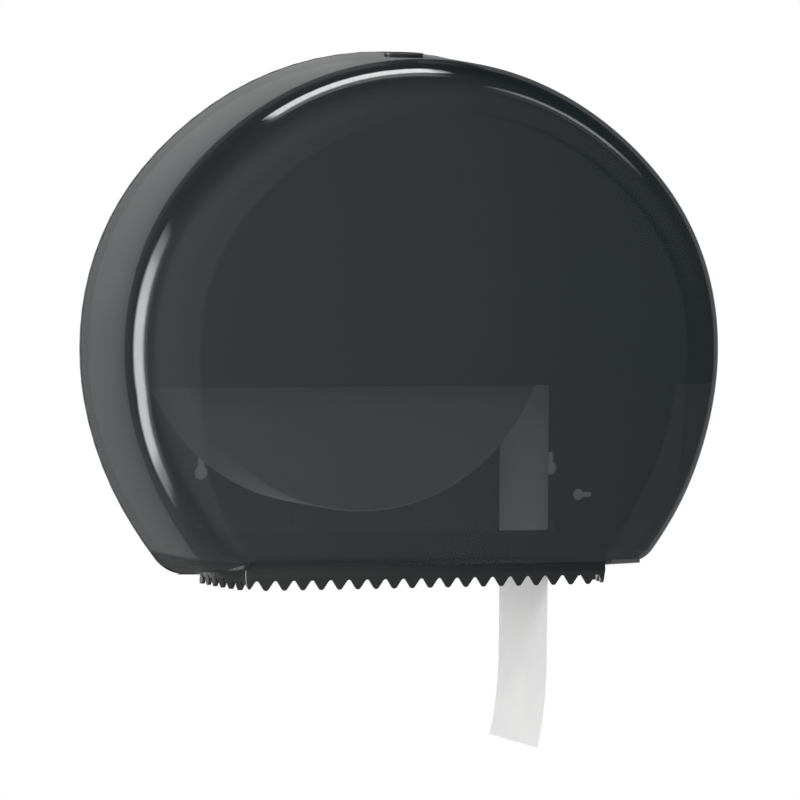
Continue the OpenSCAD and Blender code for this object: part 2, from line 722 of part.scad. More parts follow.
module axle_screws() color([0.62, 0.63, 0.64]) at_roll_axis() at_axle_screws() {
    difference() {
        union() {
            rod_y(screw_r, 1, boss_front + axle_flange_t);
            rod_y(screw_head_r, boss_front + axle_flange_t, hub_back - part_gap);
        }
        for (t = [0, 90]) rotate([0, t, 0]) translate([-2, -hub_back, -0.4]) cube([4, 0.6, 0.8]);
    }
}

module brake_washer() color([0.8, 0.78, 0.7]) at_roll_axis() {
    tube_y(end_cap_r, axle_r + run_gap, washer_back, washer_back + washer_t);
}

module brake_spring() color([0.75, 0.76, 0.78]) at_roll_axis() {
    coil_y(spring_r, spring_wire, spring_turns, washer_back + washer_t, cap_back);
}

module axle_end_cap() color([0.2, 0.21, 0.22]) at_roll_axis() {
    tube_y(end_cap_r, end_screw_r + fit_gap, cap_back, cap_back + end_cap_t);
}

module axle_end_screw() color([0.62, 0.63, 0.64]) at_roll_axis() {
    screw_y(cap_back + end_cap_t, end_cap_t + 15, end_screw_r, 4.6, 2.8);
}

module spindle_hub() color([0.3, 0.32, 0.34]) at_roll_axis() {
    barb_back = roll_front + part_gap;
    difference() {
        union() {
            tube_y(hub_flange_r, bearing_r, hub_back, roll_back - part_gap / 2);
            tube_y(hub_r, hub_r - hub_wall, roll_back - 1, barb_back + barb_len);
            tube_y(bearing_r + hub_wall, bearing_r, hub_back, bearing_front);
            // Webs between the bearing tube and the barrel
            for (t = [0 : 60 : 300]) rotate([0, t, 0])
                translate([bearing_r + 1, -bearing_front + 6, -hub_wall / 2])
                cube([hub_r - bearing_r - 2, bearing_front - roll_back - 5, hub_wall]);
            // Barbs that hold the core on
            for (t = [30 : arm_turn : 360]) rotate([0, t, 0]) intersection() {
                rod_y(hub_r + barb_h, barb_back, barb_back + barb_len);
                translate([hub_r - hub_wall, -cover_d, -4]) cube([hub_wall + barb_h + 1, cover_d, 8]);
            }
        }
        // Slits that free each barb's finger
        for (t = [30 : arm_turn : 360]) rotate([0, t, 0]) for (z = [-5.2, 4])
            translate([hub_r - hub_wall - 1, -barb_back - barb_len - 1, z]) cube([hub_wall + 4, 26, 1.2]);
    }
}

module roll_core() color([0.72, 0.6, 0.45]) at_roll_axis() {
    tube_y(core_r, core_in_r, roll_back, roll_front);
}

module paper_roll() color([0.93, 0.93, 0.92]) at_roll_axis() {
    tube_y(roll_r, core_r, roll_back, roll_front);
}

// Side view of the tail: straight down from the roll's right side, then a slow curl to the left
tail_x = roll_x + roll_r + part_gap;
tail_curl_z = bottom_z - tail_curl_drop;
tail_end_z = bottom_z - tail_end_drop;
tail_arc = asin((tail_curl_z - tail_end_z) / tail_curl_r);
function tail_side(off) = concat(
    [[tail_x + off, roll_z], [tail_x + off, tail_curl_z]],
    [for (i = [1 : 8]) let (a = tail_arc * i / 8)
        [tail_x + tail_t - tail_curl_r + (tail_curl_r - tail_t + off) * cos(a),
         tail_curl_z - (tail_curl_r - tail_t + off) * sin(a)]]
);

module paper_tail() color([0.95, 0.95, 0.95]) {
    near = tail_side(0);
    far = tail_side(tail_t);
    slab(roll_back, roll_front) polygon(concat(near, [for (i = [len(far) - 1 : -1 : 0]) far[i]]));
}

module stub_post() color([0.22, 0.24, 0.25]) at_stub_axis() {
    foot_back = plate_t + 1.5;
    difference() {
        union() {
            tube_y(stub_flange_r, stub_r - 2.5, foot_back, foot_back + 3);
            tube_y(stub_r, stub_r - 2.5, foot_back, stub_front);
            tube_y(stub_r + 3, stub_r - 2.5, stub_front - 3, stub_front);
        }
        at_stub_screws() rod_y(screw_hole_r, foot_back - 1, foot_back + 4);
    }
}

module stub_post_screws() color([0.62, 0.63, 0.64]) at_stub_axis() at_stub_screws() {
    screw_y(plate_t + 4.5, plate_t + 3);
}

module lock_keeper() color([0.66, 0.67, 0.69]) {
    tab_z = keeper_arm_z + keeper_t - keeper_tab - keeper_t;
    difference() {
        union() {
            // Tab on the plate, arm under the cam and the lip in front of it
            translate([keeper_x0, -plate_t - keeper_t, tab_z])
                cube([keeper_x1 - keeper_x0, keeper_t, keeper_tab + keeper_t]);
            translate([keeper_x0, -keeper_lip_d - keeper_t, keeper_arm_z])
                cube([keeper_x1 - keeper_x0, keeper_lip_d + keeper_t - plate_t, keeper_t]);
            translate([keeper_x0, -keeper_lip_d - keeper_t, keeper_arm_z])
                cube([keeper_x1 - keeper_x0, keeper_t, cam_z + cam_t - keeper_arm_z]);
        }
        at_keeper_screws() rod_y(screw_hole_r, plate_t - 1, plate_t + keeper_t + 1);
    }
}

module keeper_screws() color([0.62, 0.63, 0.64]) {
    at_keeper_screws() screw_y(plate_t + keeper_t, keeper_t + plate_t - 0.5);
}

// The space that the tear bar hangs through, turned about the hinge so that the lip passes the bar
module mouth() {
    last = len(mouth_half) - 1;
    intersection() {
        at_hinge() translate([bar_x, 0, 0]) rotate([0, 90, 0]) rotate_extrude()
            polygon(concat(mouth_half, [for (i = [last : -1 : 0]) [mouth_half[i][0], -mouth_half[i][1]]]));
        translate([-cover_w, -cover_d, hinge_z - cover_h])
            cube([2 * cover_w, cover_d - mouth_back, cover_h + bar_reach(bar_front) / 2]);
    }
    translate([-knuckle_x - part_gap / 2, -mouth_back - 1, hinge_z - 10])
        cube([2 * knuckle_x + part_gap, mouth_back + 2, 10 + 3 * knuckle_r]);
}

module cover_shell() color([0.16, 0.18, 0.19, 0.85]) {
    difference() {
        union() {
            difference() {
                skin_shell(0, cover_wall, plate_t + seat_gap);
                mouth();
            }
            both_sides() at_hinge()
                rod_x(knuckle_r, knuckle_x + part_gap / 2, knuckle_x + part_gap / 2 + knuckle_len);
        }
        both_sides() at_hinge() rod_x(pin_r + run_gap, knuckle_x - 1, knuckle_x + 2 * knuckle_len);
        at_lock() translate([0, 0, -cover_wall - 6]) cylinder(r = lock_body_r + fit_gap, h = cover_wall + 12);
    }
}

module cover_liner() color([0.12, 0.13, 0.14]) {
    difference() {
        skin_shell(cover_wall + part_gap / 3, liner_t, liner_start);
        translate([-cover_w, -cover_d - 1, window_z - cover_h]) cube([2 * cover_w, cover_d + 2, cover_h]);
        at_lock() translate([0, 0, -20]) cylinder(r = lock_body_r + 1, h = 30);
    }
}

module lock_body() color([0.1, 0.1, 0.11]) at_lock() {
    difference() {
        union() {
            cylinder(r = bezel_r, h = bezel_t);
            translate([0, 0, -body_end]) cylinder(r = lock_body_r, h = body_end);
        }
        translate([0, 0, -body_end - 1]) cylinder(r = barrel_r + run_gap, h = body_end + bezel_t + 2);
    }
}

module lock_nut() color([0.6, 0.61, 0.62]) at_lock() translate([0, 0, -nut_top - lock_nut_t]) {
    difference() {
        cylinder(r = lock_body_r + 4, h = lock_nut_t, $fn = 6);
        translate([0, 0, -1]) cylinder(r = lock_body_r + fit_gap, h = lock_nut_t + 2);
    }
}

module lock_barrel() color([0.55, 0.56, 0.58]) at_lock() {
    slot_w = 1.6;
    slot_l = 4.4;
    slot_x = 2.8;
    slot_deep = 7;
    difference() {
        translate([0, 0, -cam_top]) cylinder(r = barrel_r, h = cam_top + bezel_t - 0.4);
        // Two key slots and the cam screw's hole
        for (side = [-1, 1]) translate([side * slot_x - slot_w / 2, -slot_l / 2, bezel_t - slot_deep])
            cube([slot_w, slot_l, slot_deep]);
        translate([0, 0, -cam_top - 1]) cylinder(r = screw_hole_r, h = 6);
    }
}

module lock_cam() color([0.66, 0.67, 0.69]) at_lock() translate([0, 0, -cam_top - cam_t]) {
    difference() {
        union() {
            cylinder(r = barrel_r + 0.5, h = cam_t);
            translate([-cam_w / 2, 0, 0]) cube([cam_w, cam_len - cam_w / 2, cam_t]);
            translate([0, cam_len - cam_w / 2, 0]) cylinder(r = cam_w / 2, h = cam_t);
        }
        translate([0, 0, -1]) cylinder(r = screw_hole_r, h = cam_t + 2);
    }
}

module cam_screw() color([0.62, 0.63, 0.64]) at_lock() translate([0, 0, -cam_top - cam_t]) {
    translate([0, 0, -1.6]) cylinder(r = screw_head_r, h = 1.6);
    cylinder(r = screw_r, h = cam_t + 4.5);
}

back_plate();
hinge_pins();
tear_bar();
tear_bar_screws();
hub_axle();
axle_screws();
brake_washer();
brake_spring();
axle_end_cap();
axle_end_screw();
stub_post();
stub_post_screws();
lock_keeper();
keeper_screws();
paper_tail();
spindle_hub();
roll_core();
paper_roll();
cover_shell();
cover_liner();
lock_body();
lock_nut();
lock_barrel();
lock_cam();
cam_screw();
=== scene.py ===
"""Jumbo toilet roll dispenser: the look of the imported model. Metres, in the frame of the CAD."""
import math
import random

import bmesh
import bpy
from mathutils import Matrix, Vector


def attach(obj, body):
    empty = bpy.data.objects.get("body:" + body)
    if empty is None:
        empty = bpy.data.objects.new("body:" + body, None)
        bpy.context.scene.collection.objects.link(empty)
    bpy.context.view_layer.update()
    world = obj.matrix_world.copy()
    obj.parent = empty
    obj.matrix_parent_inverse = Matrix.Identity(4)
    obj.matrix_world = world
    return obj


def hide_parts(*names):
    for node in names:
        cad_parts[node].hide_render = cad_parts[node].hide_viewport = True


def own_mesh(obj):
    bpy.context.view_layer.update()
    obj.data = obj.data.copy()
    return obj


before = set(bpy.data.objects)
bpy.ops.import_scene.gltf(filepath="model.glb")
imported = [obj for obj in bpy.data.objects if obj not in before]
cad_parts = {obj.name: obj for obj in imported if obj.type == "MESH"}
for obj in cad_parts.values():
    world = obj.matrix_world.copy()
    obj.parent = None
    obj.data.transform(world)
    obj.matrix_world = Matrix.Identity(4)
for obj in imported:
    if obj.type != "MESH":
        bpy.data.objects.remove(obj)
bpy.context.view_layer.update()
scene = bpy.context.scene
MM = 0.001

# ---------------------------------------------------------------- sizes, in millimetres, as in part.scad
COVER_W, COVER_H, CROWN_Z, COVER_D, WALL = 437, 359, 207, 132.5, 2.8
DRAFT = 5.1
SLOPE = math.tan(math.radians(DRAFT))
BREAKS = [0, 30, 50, 75, 90, 100, 120, 127.5, 180]
RADII = [218, 237, 184, 193, 193, 230, 314, 29]
STEPS = [24, 16, 20, 12, 8, 16, 6, 26]
WIDEST = 4
CORNER_FROM, LOW_FROM, RIM_FROM = 127.5, 96, 158
ROUND_IN, LOW_IN, FRONT_CORNER_R, ROUND_DEPTH, CREASE = 39, 20, 15, 45, 6
FOOT_ROUND, FOOT_DEPTH = 10, 13
CREASE_ROWS = 0.9
SWEEP = [0, 0.012] + [i / 24 for i in range(1, 25)]
COVER_START = 3.4
HINGE_D, HINGE_Z = 6, CROWN_Z - COVER_H + 4
KNUCKLE_R, KNUCKLE_X, KNUCKLE_LEN, PIN_HOLE_R, PART_GAP = 3.6, 140, 9.6, 2.06, 0.3
BAR_X, BAR_HALF, BAR_FLARE, BAR_CORNER_D, BAR_BOW, BAR_SIDE_END = -7, 127, 10, 116, 3.7, 35
BAR_CORNER_R, BAR_TOP_Z, LIP_GAP = 4.5, -117.9, 2
WINDOW_Z, LINER_T, LINER_START = -19.8, 0.9, 20
LOCK_D, LOCK_BODY_R = 38, 10.5
LOCK_Z = CROWN_Z - SLOPE * LOCK_D
ROLL_X, ROLL_Z, ROLL_R, ROLL_BACK, ROLL_W, CORE_R = -52, 27, 131, 15, 96, 30.25
TAIL_CURL_Z, TAIL_CURL_R, TAIL_END_Z = -208, 280, -268
TOOTH_PITCH, TORN_LEAST, TORN_MEAN = 12.7, 1.2, 1.5


# ---------------------------------------------------------------- small helpers
def new_object(name, data):
    obj = bpy.data.objects.new(name, data)
    scene.collection.objects.link(obj)
    return obj


def mesh_from(name, verts, faces):
    """A mesh from points in millimetres, with its faces turned outwards."""
    mesh = bpy.data.meshes.new(name)
    mesh.from_pydata([Vector(v) * MM for v in verts], [], faces)
    bm = bmesh.new()
    bm.from_mesh(mesh)
    bmesh.ops.recalc_face_normals(bm, faces=bm.faces)
    bm.to_mesh(mesh)
    bm.free()
    return mesh


def smooth_by_angle(mesh, degrees):
    """Smooth shading, with edges sharper than the angle left sharp."""
    bm = bmesh.new()
    bm.from_mesh(mesh)
    for face in bm.faces:
        face.smooth = True
    for edge in bm.edges:
        if len(edge.link_faces) == 2:
            edge.smooth = edge.calc_face_angle(0) < math.radians(degrees)
    bm.to_mesh(mesh)
    bm.free()


def boolean(obj, cutter, operation):
    """Applies one exact boolean and removes its second object."""
    mod = obj.modifiers.new("cut", "BOOLEAN")
    mod.solver, mod.operation, mod.object = "EXACT", operation, cutter
    depsgraph = bpy.context.evaluated_depsgraph_get()
    result = bpy.data.meshes.new_from_object(obj.evaluated_get(depsgraph))
    obj.modifiers.remove(mod)
    old = obj.data
    obj.data = result
    bpy.data.meshes.remove(old)
    bpy.data.objects.remove(cutter, do_unlink=True)


def rod(name, radius, start, end, sides=64):
    """A closed cylinder between two points in millimetres."""
    start, end = Vector(start), Vector(end)
    turn = (end - start).to_track_quat("Z", "Y").to_matrix()
    verts = []
    for centre in (start, end):
        for i in range(sides):
            a = 2 * math.pi * i / sides
            verts.append(centre + turn @ Vector((radius * math.cos(a), radius * math.sin(a), 0)))
    faces = [(i, (i + 1) % sides, sides + (i + 1) % sides, sides + i) for i in range(sides)]
    faces += [tuple(range(sides)), tuple(range(sides, 2 * sides))]
    return new_object(name, mesh_from(name, verts, faces))


def prism_x(name, outline, x0, x1):
    """A closed prism of a (y, z) outline between two x, in millimetres."""
    n = len(outline)
    verts = [(x0, y, z) for y, z in outline] + [(x1, y, z) for y, z in outline]
    faces = [(i, (i + 1) % n, n + (i + 1) % n, n + i) for i in range(n)]
    faces += [tuple(range(n)), tuple(range(n, 2 * n))]
    return new_object(name, mesh_from(name, verts, faces))


# ---------------------------------------------------------------- the cover's shape
def direction(angle):
    a = math.radians(angle)
    return Vector((math.sin(a), math.cos(a)))


def ease(t):
    c = max(0.0, min(1.0, t))
    return c * c * (3 - 2 * c)


def mix(a, b, t):
    return a + (b - a) * t


def half_outline():
    """Points (x, z, angle) of the right half of the cover's outline at the wall."""
    sums = [Vector((0, 0))]
    for k, radius in enumerate(RADII):
        sums.append(sums[-1] + radius * (direction(BREAKS[k + 1]) - direction(BREAKS[k])))
    top_flat = COVER_W / 2 - sums[WIDEST].x
    side_flat = COVER_H + sums[-1].y
    rows = []
    for k, radius in enumerate(RADII):
        start = Vector((top_flat, CROWN_Z)) + sums[k] - Vector((0, side_flat if k >= WIDEST else 0))
        last = STEPS[k] + (1 if k in (WIDEST - 1, len(RADII) - 1) else 0)
        for j in range(last):
            a = BREAKS[k] + (BREAKS[k + 1] - BREAKS[k]) * j / STEPS[k]
            p = start + radius * (direction(a) - direction(BREAKS[k]))
            rows.append((p.x, p.y, a))
    return rows


HALF = half_outline()
RING = [(x, z, a, 1) for x, z, a in HALF] + [(x, z, a, -1) for x, z, a in reversed(HALF)]
RING_N = len(RING)


def inset_point(station, off):
    x, z, a, side = station
    d = direction(a)
    return side * (x - off * d.x), z - off * d.y


def rim_depth(a):
    """Depth of the crease between wall and roundover at an angle of the outline."""
    return COVER_D - mix(ROUND_DEPTH, FOOT_DEPTH, ease((a - RIM_FROM) / (180 - RIM_FROM)))


def front_off(a):
    """How far the rim of the flat front lies inside the outline at the wall."""
    share = ease((a - LOW_FROM) / (CORNER_FROM - LOW_FROM))
    return SLOPE * (COVER_D - ROUND_DEPTH) + mix(ROUND_IN, LOW_IN, share)


def front_turn():
    """The flat front's lower corner: start, direction and length of its run, its arc's centre, its length."""
    x, z, a = [s for s in HALF if s[2] == CORNER_FROM][0]
    out = direction(CORNER_FROM)
    start = Vector((x, z)) - front_off(CORNER_FROM) * out
    along = Vector((out.y, -out.x))
    low = CROWN_Z - COVER_H + SLOPE * (COVER_D - FOOT_DEPTH) + FOOT_ROUND
    run = (low + FRONT_CORNER_R * (1 + out.y) - start.y) / along.y
    centre = start + run * along - FRONT_CORNER_R * out
    return start, along, run, centre, run + FRONT_CORNER_R * math.radians(180 - CORNER_FROM)


TURN_START, TURN_ALONG, TURN_RUN, TURN_CENTRE, TURN_LEN = front_turn()


def front_point(station):
    """Where a station of the outline lies on the rim of the flat front."""
    x, z, a = station[:3]
    if a <= CORNER_FROM:
        return Vector((x, z)) - front_off(a) * direction(a)
    s = TURN_LEN * (a - CORNER_FROM) / (180 - CORNER_FROM)
    if s < TURN_RUN:
        return TURN_START + s * TURN_ALONG
    turned = math.degrees((s - TURN_RUN) / FRONT_CORNER_R)
    return TURN_CENTRE + FRONT_CORNER_R * direction(CORNER_FROM + turned)


def skin_rows(inset, start):
    """Rings of points of one skin, from its rear edge to the flat front's rim, closer beside the crease."""
    rows = []
    for back in (None, CREASE_ROWS):
        row = []
        for s in RING:
            d = start if back is None else rim_depth(s[2]) - back
            x, z = inset_point(s, inset + SLOPE * d)
            row.append((x, -d, z))
        rows.append(row)
    for part in SWEEP:
        row = []
        for s in RING:
            x, z, a, side = s
            out = direction(a)
            rim = rim_depth(a)
            edge = Vector((x, z)) - (inset + SLOPE * rim) * out
            front = front_point(s)
            deep = COVER_D - inset - rim
            first = math.atan(math.tan(math.radians(DRAFT + CREASE)) * deep / (edge - front).dot(out))
            q = mix(first, math.pi / 2, part)
            p = edge + (front - edge) * ((math.cos(first) - math.cos(q)) / math.cos(first))
            d = rim + deep * (math.sin(q) - math.sin(first)) / (1 - math.sin(first))
            row.append((side * p.x, -d, p.y))
        rows.append(row)
    return rows


def skin_shell(name, inset, thick, start):
    """A closed shell between two skins of the cover's shape."""
    outer, inner = skin_rows(inset, start), skin_rows(inset + thick, start)
    verts = [p for row in outer + inner for p in row]
    rows, faces = len(outer), []
    for base in (0, rows * RING_N):
        for r in range(rows - 1):
            for i in range(RING_N):
                j = (i + 1) % RING_N
                a, b = base + r * RING_N + i, base + r * RING_N + j
                faces.append((a, b, b + RING_N, a + RING_N))
        cap = base + (rows - 1) * RING_N
        for i in range(RING_N // 2 - 1):
            faces.append((cap + i, cap + i + 1, cap + RING_N - 2 - i, cap + RING_N - 1 - i))
    base = rows * RING_N
    for i in range(RING_N):
        j = (i + 1) % RING_N
        faces.append((i, j, base + j, base + i))
    return new_object(name, mesh_from(name, verts, faces))


def flatten_front(mesh, depths):
    """Keeps the flat front's shading flat up to its rim, where the roundover meets it."""
    normals, near = [], 2e-6
    for poly in mesh.polygons:
        flat = abs(poly.normal.y) > 0.9
        for li in poly.loop_indices:
            v = mesh.vertices[mesh.loops[li].vertex_index].co
            at_face = any(abs(v.y + d * MM) < near for d in depths)
            if flat and at_face:
                normals.append((0, -1 if poly.normal.y < 0 else 1, 0))
            else:
                normals.append(tuple(mesh.corner_normals[li].vector))
    mesh.normals_split_custom_set(normals)


def lock_axis_point(up):
    """A point on the lock's axis, that far out of the cover's top."""
    a = math.atan(SLOPE)
    return 0, -LOCK_D - up * math.sin(a), LOCK_Z + up * math.cos(a)


def bar_reach(d):
    """How far the lip is from the hinge's axis where it passes the tear bar's top edge at a depth."""
    return math.hypot(d - HINGE_D, BAR_TOP_Z - HINGE_Z) + LIP_GAP


def mouth_cutters():
    """The space that the tear bar hangs through, turned about the hinge, and the one between the knuckles."""
    flare_len = BAR_CORNER_D - BAR_SIDE_END
    flare_r = (flare_len ** 2 + BAR_FLARE ** 2) / (2 * BAR_FLARE)
    outer = BAR_HALF + BAR_FLARE
    profile = [(bar_reach(BAR_CORNER_D + BAR_BOW), BAR_HALF - BAR_CORNER_R)]
    for i in range(9):
        d = mix(BAR_CORNER_D - BAR_CORNER_R / 2, BAR_SIDE_END, i / 8)
        x = outer - flare_r + math.sqrt(flare_r ** 2 - (d - BAR_SIDE_END) ** 2)
        profile.append((bar_reach(d), x + LIP_GAP))
    sides = [(r, -w) for r, w in reversed(profile)] + profile
    verts, faces, turns, n = [], [], 240, len(sides)
    for t in range(turns):
        a = 2 * math.pi * t / turns
        verts += [(BAR_X + w, -HINGE_D + r * math.cos(a), HINGE_Z + r * math.sin(a)) for r, w in sides]
    for t in range(turns):
        u = (t + 1) % turns
        faces += [(t * n + i, t * n + i + 1, u * n + i + 1, u * n + i) for i in range(n - 1)]
        faces += [(t * n, u * n, turns * n), (t * n + n - 1, u * n + n - 1, turns * n + 1)]
    verts += [(BAR_X - outer - LIP_GAP, -HINGE_D, HINGE_Z), (BAR_X + outer + LIP_GAP, -HINGE_D, HINGE_Z)]
    front = new_object("mouth", mesh_from("mouth", verts, faces))
    top, back = HINGE_Z + bar_reach(BAR_CORNER_D + BAR_BOW) / 2, -2 * HINGE_D
    boolean(front, prism_x("front_part", [(back, top), (-COVER_D, top), (-COVER_D, top - COVER_H),
                                          (back, top - COVER_H)], -COVER_W, COVER_W), "INTERSECT")
    edge = KNUCKLE_X + PART_GAP / 2
    low, high = HINGE_Z - 10, HINGE_Z + 3 * KNUCKLE_R
    rear = prism_x("mouth_rear", [(1, low), (1, high), (back - 1, high), (back - 1, low)], -edge, edge)
    return front, rear


def make_cover():
    cover = skin_shell("smoked_cover", 0, WALL, COVER_START)
    for cutter in mouth_cutters():
        boolean(cover, cutter, "DIFFERENCE")
    for side in (-1, 1):
        x0 = side * (KNUCKLE_X + PART_GAP / 2)
        boolean(cover, rod("knuckle", KNUCKLE_R, (x0, -HINGE_D, HINGE_Z),
                           (x0 + side * KNUCKLE_LEN, -HINGE_D, HINGE_Z)), "UNION")
        boolean(cover, rod("bore", PIN_HOLE_R, (side * (KNUCKLE_X - 1), -HINGE_D, HINGE_Z),
                           (side * (KNUCKLE_X + 2 * KNUCKLE_LEN), -HINGE_D, HINGE_Z)), "DIFFERENCE")
    past = 6
    boolean(cover, rod("lock_hole", LOCK_BODY_R, lock_axis_point(-WALL - past), lock_axis_point(past)),
            "DIFFERENCE")
    smooth_by_angle(cover.data, 32)
    flatten_front(cover.data, (COVER_D, COVER_D - WALL))
    return cover


def make_mask():
    inset = WALL + PART_GAP / 3
    mask = skin_shell("mask_film", inset, LINER_T, LINER_START)
    low = WINDOW_Z - COVER_H
    y0, y1 = -COVER_D - 1, 1
    boolean(mask, prism_x("below", [(y0, low), (y0, WINDOW_Z), (y1, WINDOW_Z), (y1, low)], -COVER_W, COVER_W),
            "DIFFERENCE")
    boolean(mask, rod("lock_room", LOCK_BODY_R + 1, lock_axis_point(-20), lock_axis_point(10)), "DIFFERENCE")
    smooth_by_angle(mask.data, 32)
    flatten_front(mask.data, (COVER_D - inset, COVER_D - inset - LINER_T))
    return mask


# ---------------------------------------------------------------- the tissue
def make_roll():
    """The wound roll: its end faces step in and out by fractions of a millimetre from layer to layer."""
    rng = random.Random(7)
    layers, edge = 62, 1.6
    radii = [CORE_R + (ROLL_R - edge - CORE_R) * i / layers for i in range(layers + 1)]
    front = [ROLL_BACK + ROLL_W - 0.05 - abs(rng.gauss(0, 0.22)) for _ in radii]
    back = [ROLL_BACK + 0.05 + abs(rng.gauss(0, 0.16)) for _ in radii]
    profile = []
    for i, r in enumerate(radii):
        profile.append((r, min(back[i], ROLL_BACK + 0.7)))
    for i in range(1, 6):
        a = math.pi / 2 * i / 5
        profile.append((ROLL_R - edge + edge * math.sin(a), ROLL_BACK + edge - edge * math.cos(a)))
    for i in range(5):
        a = math.pi / 2 * i / 5
        profile.append((ROLL_R - edge + edge * math.cos(a), ROLL_BACK + ROLL_W - edge + edge * math.sin(a)))
    for i in range(layers, -1, -1):
        profile.append((radii[i], max(front[i], ROLL_BACK + ROLL_W - 0.9)))
    turns, n = 160, len(profile)
    verts, faces = [], []
    for t in range(turns):
        a = 2 * math.pi * t / turns
        sway = 0.12 * math.sin(3 * a) + 0.08 * math.sin(7 * a + 1)
        for r, d in profile:
            swell = sway * (r - CORE_R) / (ROLL_R - CORE_R) if r < ROLL_R - edge else 0
            verts.append((ROLL_X + r * math.cos(a), -(d + swell * 0.4), ROLL_Z + r * math.sin(a)))
    for t in range(turns):
        u = (t + 1) % turns
        for i in range(n):
            j = (i + 1) % n
            faces.append((t * n + i, t * n + j, u * n + j, u * n + i))
    roll = new_object("wound_tissue", mesh_from("wound_tissue", verts, faces))
    smooth_by_angle(roll.data, 60)
    return roll


def make_tail():
    """One sheet that leaves the roll's right side, hangs straight and curls a little at its end."""
    x0 = ROLL_X + ROLL_R + 0.55
    sheet_t = 0.25
    straight, arc = ROLL_Z - TAIL_CURL_Z, TAIL_CURL_R * math.asin((TAIL_CURL_Z - TAIL_END_Z) / TAIL_CURL_R)
    length = straight + arc
    rows, cols = 150, 48
    verts, faces = [], []

    def point(s, w, off):
        """s runs down the sheet, w across it from the wall outwards, off is out of its plane."""
        if s <= straight:
            x, z, nx, nz = x0, ROLL_Z - s, 1.0, 0.0
        else:
            a = (s - straight) / TAIL_CURL_R
            x, z = x0 - TAIL_CURL_R * (1 - math.cos(a)), TAIL_CURL_Z - TAIL_CURL_R * math.sin(a)
            nx, nz = math.cos(a), -math.sin(a)
        loose = ease(s / length * 1.6 - 0.5)
        wide = 0.22 * math.sin(w / ROLL_W * 7.0 + s * 0.012)
        narrow = 0.12 * math.sin(w * 0.21 + s * 0.03 + 2)
        o = off + loose * (wide + narrow) - 0.2 * loose
        return x + nx * o, -(ROLL_BACK + w), z + nz * o

    def ragged(w):
        """The torn lower edge: shallow scallops of the tear bar's pitch, with fine fibres."""
        scallop = 0.45 * abs(math.sin(math.pi * w / TOOTH_PITCH))
        return scallop + 0.25 * math.sin(w * 2.9) * math.sin(w * 1.3 + 1)

    for off in (0.0, sheet_t):
        for r in range(rows + 1):
            for c in range(cols + 1):
                w = ROLL_W * c / cols
                s = (length - TORN_LEAST - ragged(w)) * r / rows
                verts.append(point(s, w, off))
    layer = (rows + 1) * (cols + 1)
    for base in (0, layer):
        for r in range(rows):
            for c in range(cols):
                a = base + r * (cols + 1) + c
                faces.append((a, a + 1, a + cols + 2, a + cols + 1))
    rim = [c for c in range(cols + 1)]
    rim += [r * (cols + 1) + cols for r in range(1, rows + 1)]
    rim += [rows * (cols + 1) + c for c in range(cols - 1, -1, -1)]
    rim += [r * (cols + 1) for r in range(rows - 1, 0, -1)]
    for i, a in enumerate(rim):
        b = rim[(i + 1) % len(rim)]
        faces.append((a, b, layer + b, layer + a))
    tail = new_object("tissue_tail", mesh_from("tissue_tail", verts, faces))
    smooth_by_angle(tail.data, 60)
    return tail, length - TORN_MEAN


# ---------------------------------------------------------------- materials
def material(name, base, roughness, metallic=0.0, ior=1.49, alpha=1.0):
    """A principled material; its uniform numbers are set on the shader's own sockets."""
    mat = bpy.data.materials.new(name)
    mat.use_nodes = True
    shader = mat.node_tree.nodes["Principled BSDF"]
    shader.inputs["Base Color"].default_value = (*base, 1)
    shader.inputs["Roughness"].default_value = roughness
    shader.inputs["Metallic"].default_value = metallic
    shader.inputs["IOR"].default_value = ior
    shader.inputs["Alpha"].default_value = alpha
    return mat


class Nodes:
    """Adds nodes to a material's tree and wires them."""

    def __init__(self, mat):
        self.tree = mat.node_tree
        self.shader = self.tree.nodes["Principled BSDF"]
        self.coords = self.tree.nodes.new("ShaderNodeTexCoord").outputs["Object"]

    def node(self, kind, inputs=(), **settings):
        node = self.tree.nodes.new(kind)
        for key, value in settings.items():
            setattr(node, key, value)
        for key, value in dict(inputs).items():
            if isinstance(value, bpy.types.NodeSocket):
                self.tree.links.new(value, node.inputs[key])
            else:
                node.inputs[key].default_value = value
        return node

    def calc(self, operation, *values):
        return self.node("ShaderNodeMath", dict(enumerate(values)), operation=operation).outputs[0]

    def stretched(self, scale):
        return self.node("ShaderNodeMapping", {"Vector": self.coords, "Scale": scale}).outputs[0]

    def noise(self, scale, detail, vector=None):
        inputs = {"Vector": vector or self.coords, "Scale": scale, "Detail": detail}
        return self.node("ShaderNodeTexNoise", inputs).outputs["Fac"]

    def ramp(self, value, low, high, out_low, out_high):
        inputs = {"Value": value, "From Min": low, "From Max": high, "To Min": out_low, "To Max": out_high}
        return self.node("ShaderNodeMapRange", inputs).outputs["Result"]

    def colour_mix(self, factor, a, b):
        node = self.node("ShaderNodeMix", data_type="RGBA")
        self.tree.links.new(factor, node.inputs["Factor"])
        for key, value in (("A", a), ("B", b)):
            socket = [s for s in node.inputs if s.name == key and s.type == "RGBA"][0]
            if isinstance(value, bpy.types.NodeSocket):
                self.tree.links.new(value, socket)
            else:
                socket.default_value = (*value, 1)
        return [s for s in node.outputs if s.type == "RGBA"][0]

    def bump(self, height, distance, strength, below=None):
        inputs = {"Height": height, "Distance": distance, "Strength": strength}
        if below is not None:
            inputs["Normal"] = below
        return self.node("ShaderNodeBump", inputs).outputs["Normal"]

    def soft_edges(self, radius):
        return self.node("ShaderNodeBevel", {"Radius": radius}, samples=4).outputs["Normal"]

    def to(self, name, socket):
        self.tree.links.new(socket, self.shader.inputs[name])


